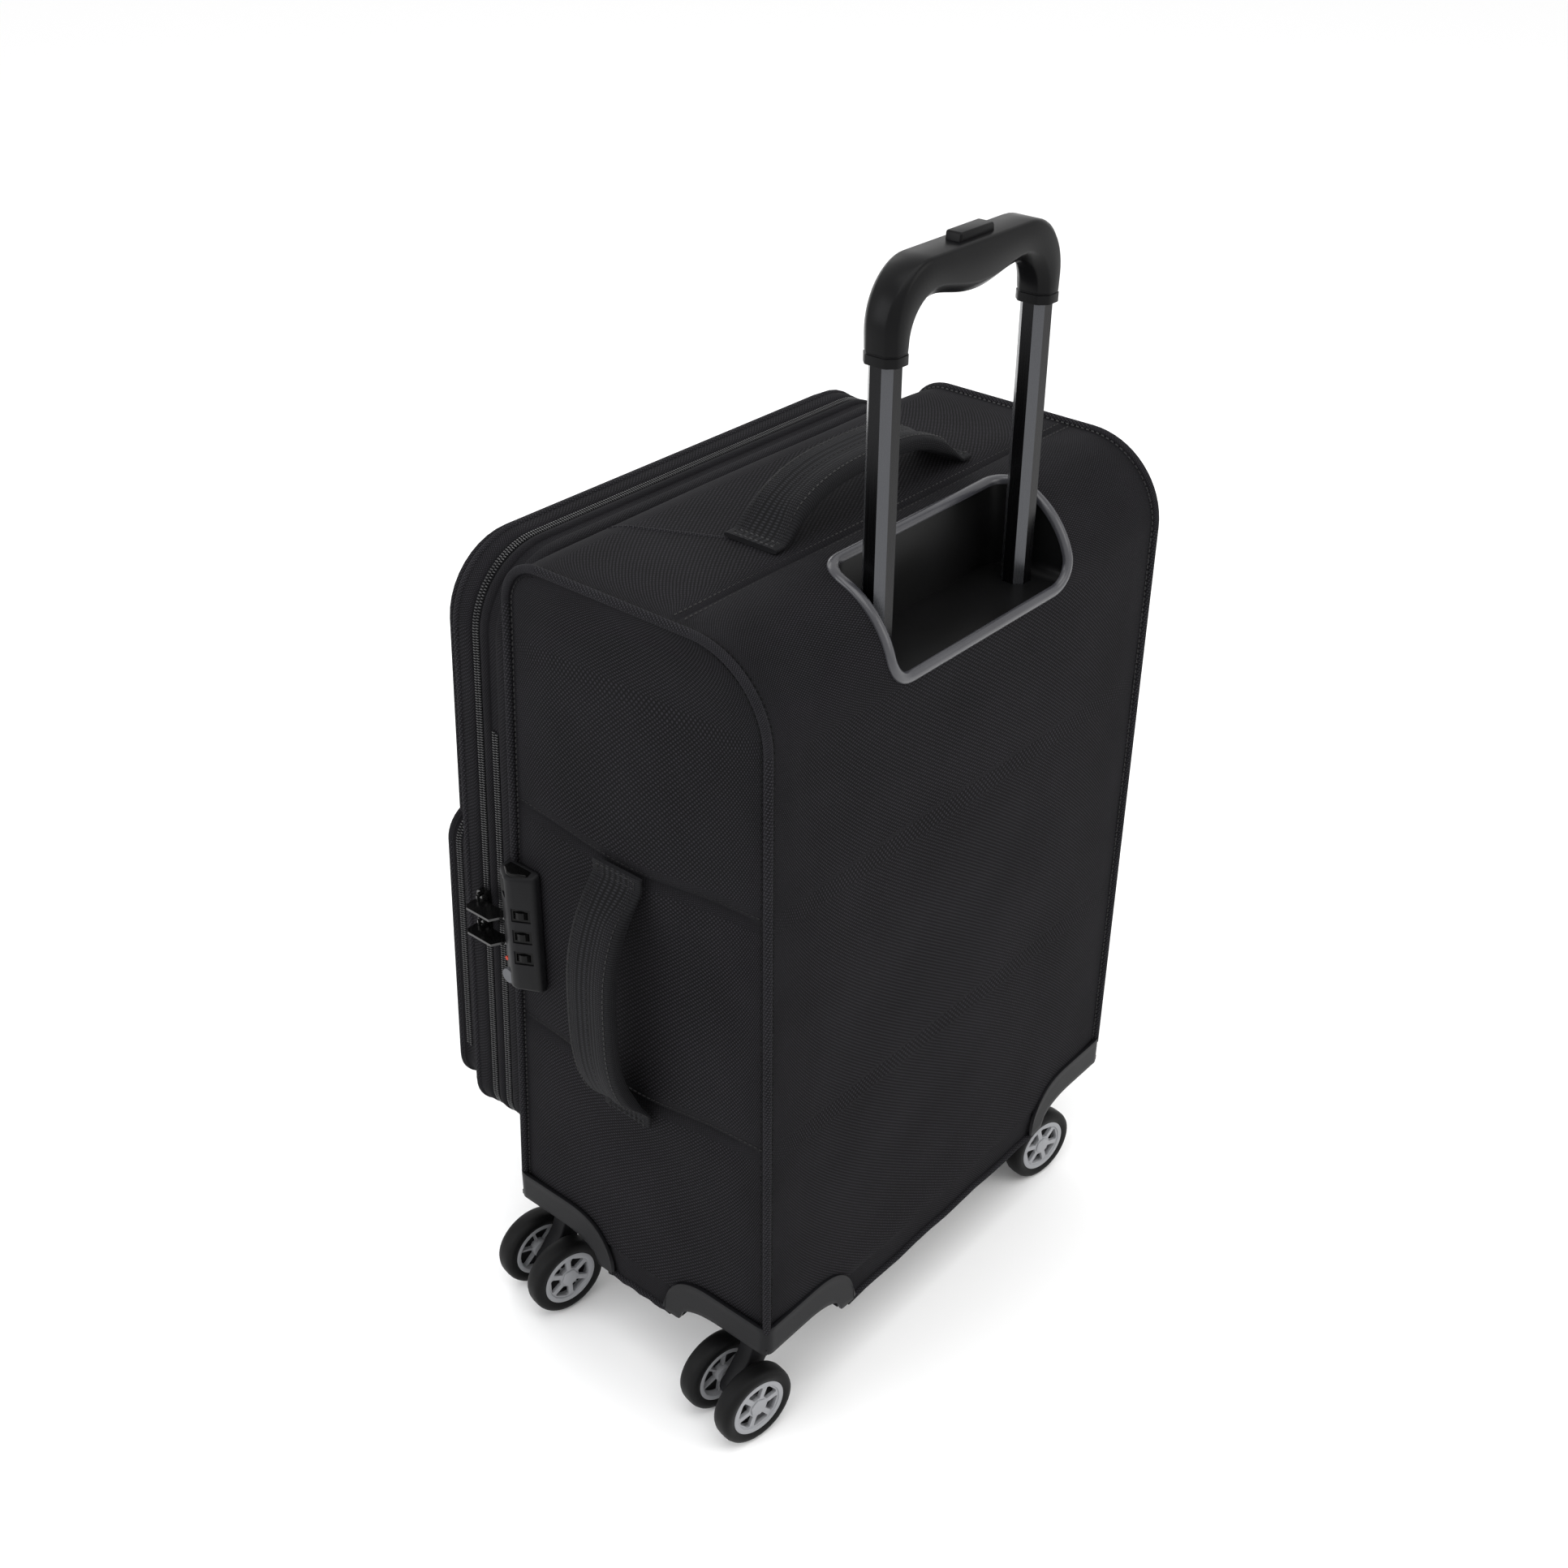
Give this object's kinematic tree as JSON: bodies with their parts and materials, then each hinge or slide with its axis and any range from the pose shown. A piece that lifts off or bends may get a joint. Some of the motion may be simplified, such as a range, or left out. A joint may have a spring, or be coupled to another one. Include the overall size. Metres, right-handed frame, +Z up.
{
  "type": "softside_upright_suitcase",
  "caption": "Softside upright suitcase: fabric case, zipped expandable front lid with pockets, telescopic handle, padded carry handles, combination lock and twin-wheel swivel casters.",
  "frame": {"origin": "centre of the footprint on the floor, midway between the whole part's outermost points in X and in Y", "axes": "+Z up and the longest way; +X is the side with the combination lock and side handle; the telescopic handle is at the back, +Y; the zipped lid and pockets face -Y"},
  "size_m": [0.3908, 0.2666, 0.704],
  "materials": {
    "twill": "woven polyester, matt",
    "webbing": "padded fabric and webbing, matt",
    "guard_plastic": "fine-grained moulded plastic",
    "cup_plastic": "fine-grained moulded plastic",
    "grip_plastic": "satin moulded plastic",
    "anodised_tube": "black anodised, satin",
    "lock_plastic": "satin moulded plastic",
    "dial_plastic": "glossy moulded plastic",
    "zip_metal": "glossy black enamel",
    "steel": "drawn, satin",
    "tyre_rubber": "moulded polyurethane, satin",
    "hub_plastic": "moulded nylon, satin",
    "liner_board": "plastic board, matt"
  },
  "bodies": {
    "case": {"back_panel": "twill", "side_panel_left": "twill", "side_panel_right": "twill", "base_panel": "liner_board", "front_kick_panel": "twill", "back_right_guard": "guard_plastic", "back_left_guard": "guard_plastic", "front_left_guard": "guard_plastic", "front_right_guard": "guard_plastic", "handle_foot": "guard_plastic", "outer_tube_left": "anodised_tube", "outer_tube_right": "anodised_tube", "handle_cup": "cup_plastic", "top_carry_handle": "webbing", "side_carry_handle": "webbing", "lock_body": "lock_plastic"},
    "telescopic_handle": {"inner_tube_left": "anodised_tube", "inner_tube_right": "anodised_tube", "grip": "grip_plastic"},
    "handle_button": {"push_button": "grip_plastic", "push_rod_left": "steel", "push_rod_right": "steel"},
    "expansion_frame": {"expansion_gusset": "twill", "zip_slider_1": "zip_metal", "zip_slider_2": "zip_metal"},
    "front_lid": {"lid_gusset": "twill", "lid_panel": "twill", "upper_pocket": "twill", "lower_pocket": "twill"},
    "pull_1": {"zip_pull_1": "zip_metal"},
    "pull_2": {"zip_pull_2": "zip_metal"},
    "dial_1": {"dial_1": "dial_plastic"},
    "dial_2": {"dial_2": "dial_plastic"},
    "dial_3": {"dial_3": "dial_plastic"},
    "lock_key": {"key_cylinder": "zip_metal"},
    "lock_release": {"lock_release": "dial_plastic"},
    "back_right_caster": {"back_right_fork": "guard_plastic", "back_right_axle": "steel"},
    "back_right_outer_wheel": {"back_right_outer_hub": "hub_plastic", "back_right_outer_tyre": "tyre_rubber"},
    "back_right_inner_wheel": {"back_right_inner_hub": "hub_plastic", "back_right_inner_tyre": "tyre_rubber"},
    "back_left_caster": {"back_left_fork": "guard_plastic", "back_left_axle": "steel"},
    "back_left_outer_wheel": {"back_left_outer_hub": "hub_plastic", "back_left_outer_tyre": "tyre_rubber"},
    "back_left_inner_wheel": {"back_left_inner_hub": "hub_plastic", "back_left_inner_tyre": "tyre_rubber"},
    "front_left_caster": {"front_left_fork": "guard_plastic", "front_left_axle": "steel"},
    "front_left_outer_wheel": {"front_left_outer_hub": "hub_plastic", "front_left_outer_tyre": "tyre_rubber"},
    "front_left_inner_wheel": {"front_left_inner_hub": "hub_plastic", "front_left_inner_tyre": "tyre_rubber"},
    "front_right_caster": {"front_right_fork": "guard_plastic", "front_right_axle": "steel"},
    "front_right_outer_wheel": {"front_right_outer_hub": "hub_plastic", "front_right_outer_tyre": "tyre_rubber"},
    "front_right_inner_wheel": {"front_right_inner_hub": "hub_plastic", "front_right_inner_tyre": "tyre_rubber"}
  },
  "joints": [
    {"name": "handle_slide", "type": "slide", "parent": "case", "child": "telescopic_handle", "axis": [0, 0, 1], "range_m": [-0.16, 0.175]},
    {"name": "handle_button_press", "type": "slide", "parent": "telescopic_handle", "child": "handle_button", "axis": [0, 0, -1], "range_m": [0, 0.003], "stiffness_N_per_m": 300, "springref_m": -0.002},
    {"name": "expansion_hinge", "type": "hinge", "parent": "case", "child": "expansion_frame", "pos_m": [-0.0139, -0.05203, 0.531], "axis": [-1, 0, 0], "range_deg": [0, 5]},
    {"name": "lid_hinge", "type": "hinge", "parent": "expansion_frame", "child": "front_lid", "pos_m": [-0.1951, -0.0996, 0.126], "axis": [0, -0.0549, -0.9985], "range_deg": [0, 170]},
    {"name": "pull_1_swing", "type": "hinge", "parent": "expansion_frame", "child": "pull_1", "pos_m": [0.1714, -0.09034, 0.289], "axis": [0, 0, -1], "range_deg": [0, 90]},
    {"name": "pull_2_swing", "type": "hinge", "parent": "expansion_frame", "child": "pull_2", "pos_m": [0.1714, -0.08935, 0.307], "axis": [0, 0, -1], "range_deg": [0, 90]},
    {"name": "dial_1_turn", "type": "hinge", "parent": "case", "child": "dial_1", "pos_m": [0.1722, -0.04949, 0.288], "axis": [0, 0, 1], "continuous": true},
    {"name": "dial_2_turn", "type": "hinge", "parent": "case", "child": "dial_2", "pos_m": [0.1722, -0.04949, 0.3032], "axis": [0, 0, 1], "continuous": true},
    {"name": "dial_3_turn", "type": "hinge", "parent": "case", "child": "dial_3", "pos_m": [0.1722, -0.04949, 0.3184], "axis": [0, 0, 1], "continuous": true},
    {"name": "key_turn", "type": "hinge", "parent": "case", "child": "lock_key", "pos_m": [0.17584, -0.05978, 0.2705], "axis": [1, 0, 0], "range_deg": [0, 90]},
    {"name": "lock_release_slide", "type": "slide", "parent": "case", "child": "lock_release", "axis": [0, 0, -1], "range_m": [0, 0.003], "stiffness_N_per_m": 150, "springref_m": -0.002},
    {"name": "back_right_swivel", "type": "hinge", "parent": "case", "child": "back_right_caster", "pos_m": [0.1401, 0.10677, 0.075], "axis": [0, 0, 1], "continuous": true},
    {"name": "back_right_outer_wheel_spin", "type": "hinge", "parent": "back_right_caster", "child": "back_right_outer_wheel", "pos_m": [0.16472, 0.11969, 0.0266], "axis": [0.1736, 0.9848, 0], "continuous": true},
    {"name": "back_right_inner_wheel_spin", "type": "hinge", "parent": "back_right_caster", "child": "back_right_inner_wheel", "pos_m": [0.15881, 0.08621, 0.0266], "axis": [0.1736, 0.9848, 0], "continuous": true},
    {"name": "back_left_swivel", "type": "hinge", "parent": "case", "child": "back_left_caster", "pos_m": [-0.1679, 0.10677, 0.075], "axis": [0, 0, 1], "continuous": true},
    {"name": "back_left_outer_wheel_spin", "type": "hinge", "parent": "back_left_caster", "child": "back_left_outer_wheel", "pos_m": [-0.14328, 0.11969, 0.0266], "axis": [0.1736, 0.9848, 0], "continuous": true},
    {"name": "back_left_inner_wheel_spin", "type": "hinge", "parent": "back_left_caster", "child": "back_left_inner_wheel", "pos_m": [-0.14919, 0.08621, 0.0266], "axis": [0.1736, 0.9848, 0], "continuous": true},
    {"name": "front_left_swivel", "type": "hinge", "parent": "case", "child": "front_left_caster", "pos_m": [-0.1679, -0.0568, 0.075], "axis": [0, 0, 1], "continuous": true},
    {"name": "front_left_outer_wheel_spin", "type": "hinge", "parent": "front_left_caster", "child": "front_left_outer_wheel", "pos_m": [-0.14328, -0.04388, 0.0266], "axis": [0.1736, 0.9848, 0], "continuous": true},
    {"name": "front_left_inner_wheel_spin", "type": "hinge", "parent": "front_left_caster", "child": "front_left_inner_wheel", "pos_m": [-0.14919, -0.07737, 0.0266], "axis": [0.1736, 0.9848, 0], "continuous": true},
    {"name": "front_right_swivel", "type": "hinge", "parent": "case", "child": "front_right_caster", "pos_m": [0.1401, -0.0568, 0.075], "axis": [0, 0, 1], "continuous": true},
    {"name": "front_right_outer_wheel_spin", "type": "hinge", "parent": "front_right_caster", "child": "front_right_outer_wheel", "pos_m": [0.16472, -0.04388, 0.0266], "axis": [0.1736, 0.9848, 0], "continuous": true},
    {"name": "front_right_inner_wheel_spin", "type": "hinge", "parent": "front_right_caster", "child": "front_right_inner_wheel", "pos_m": [0.15881, -0.07737, 0.0266], "axis": [0.1736, 0.9848, 0], "continuous": true}
  ]
}
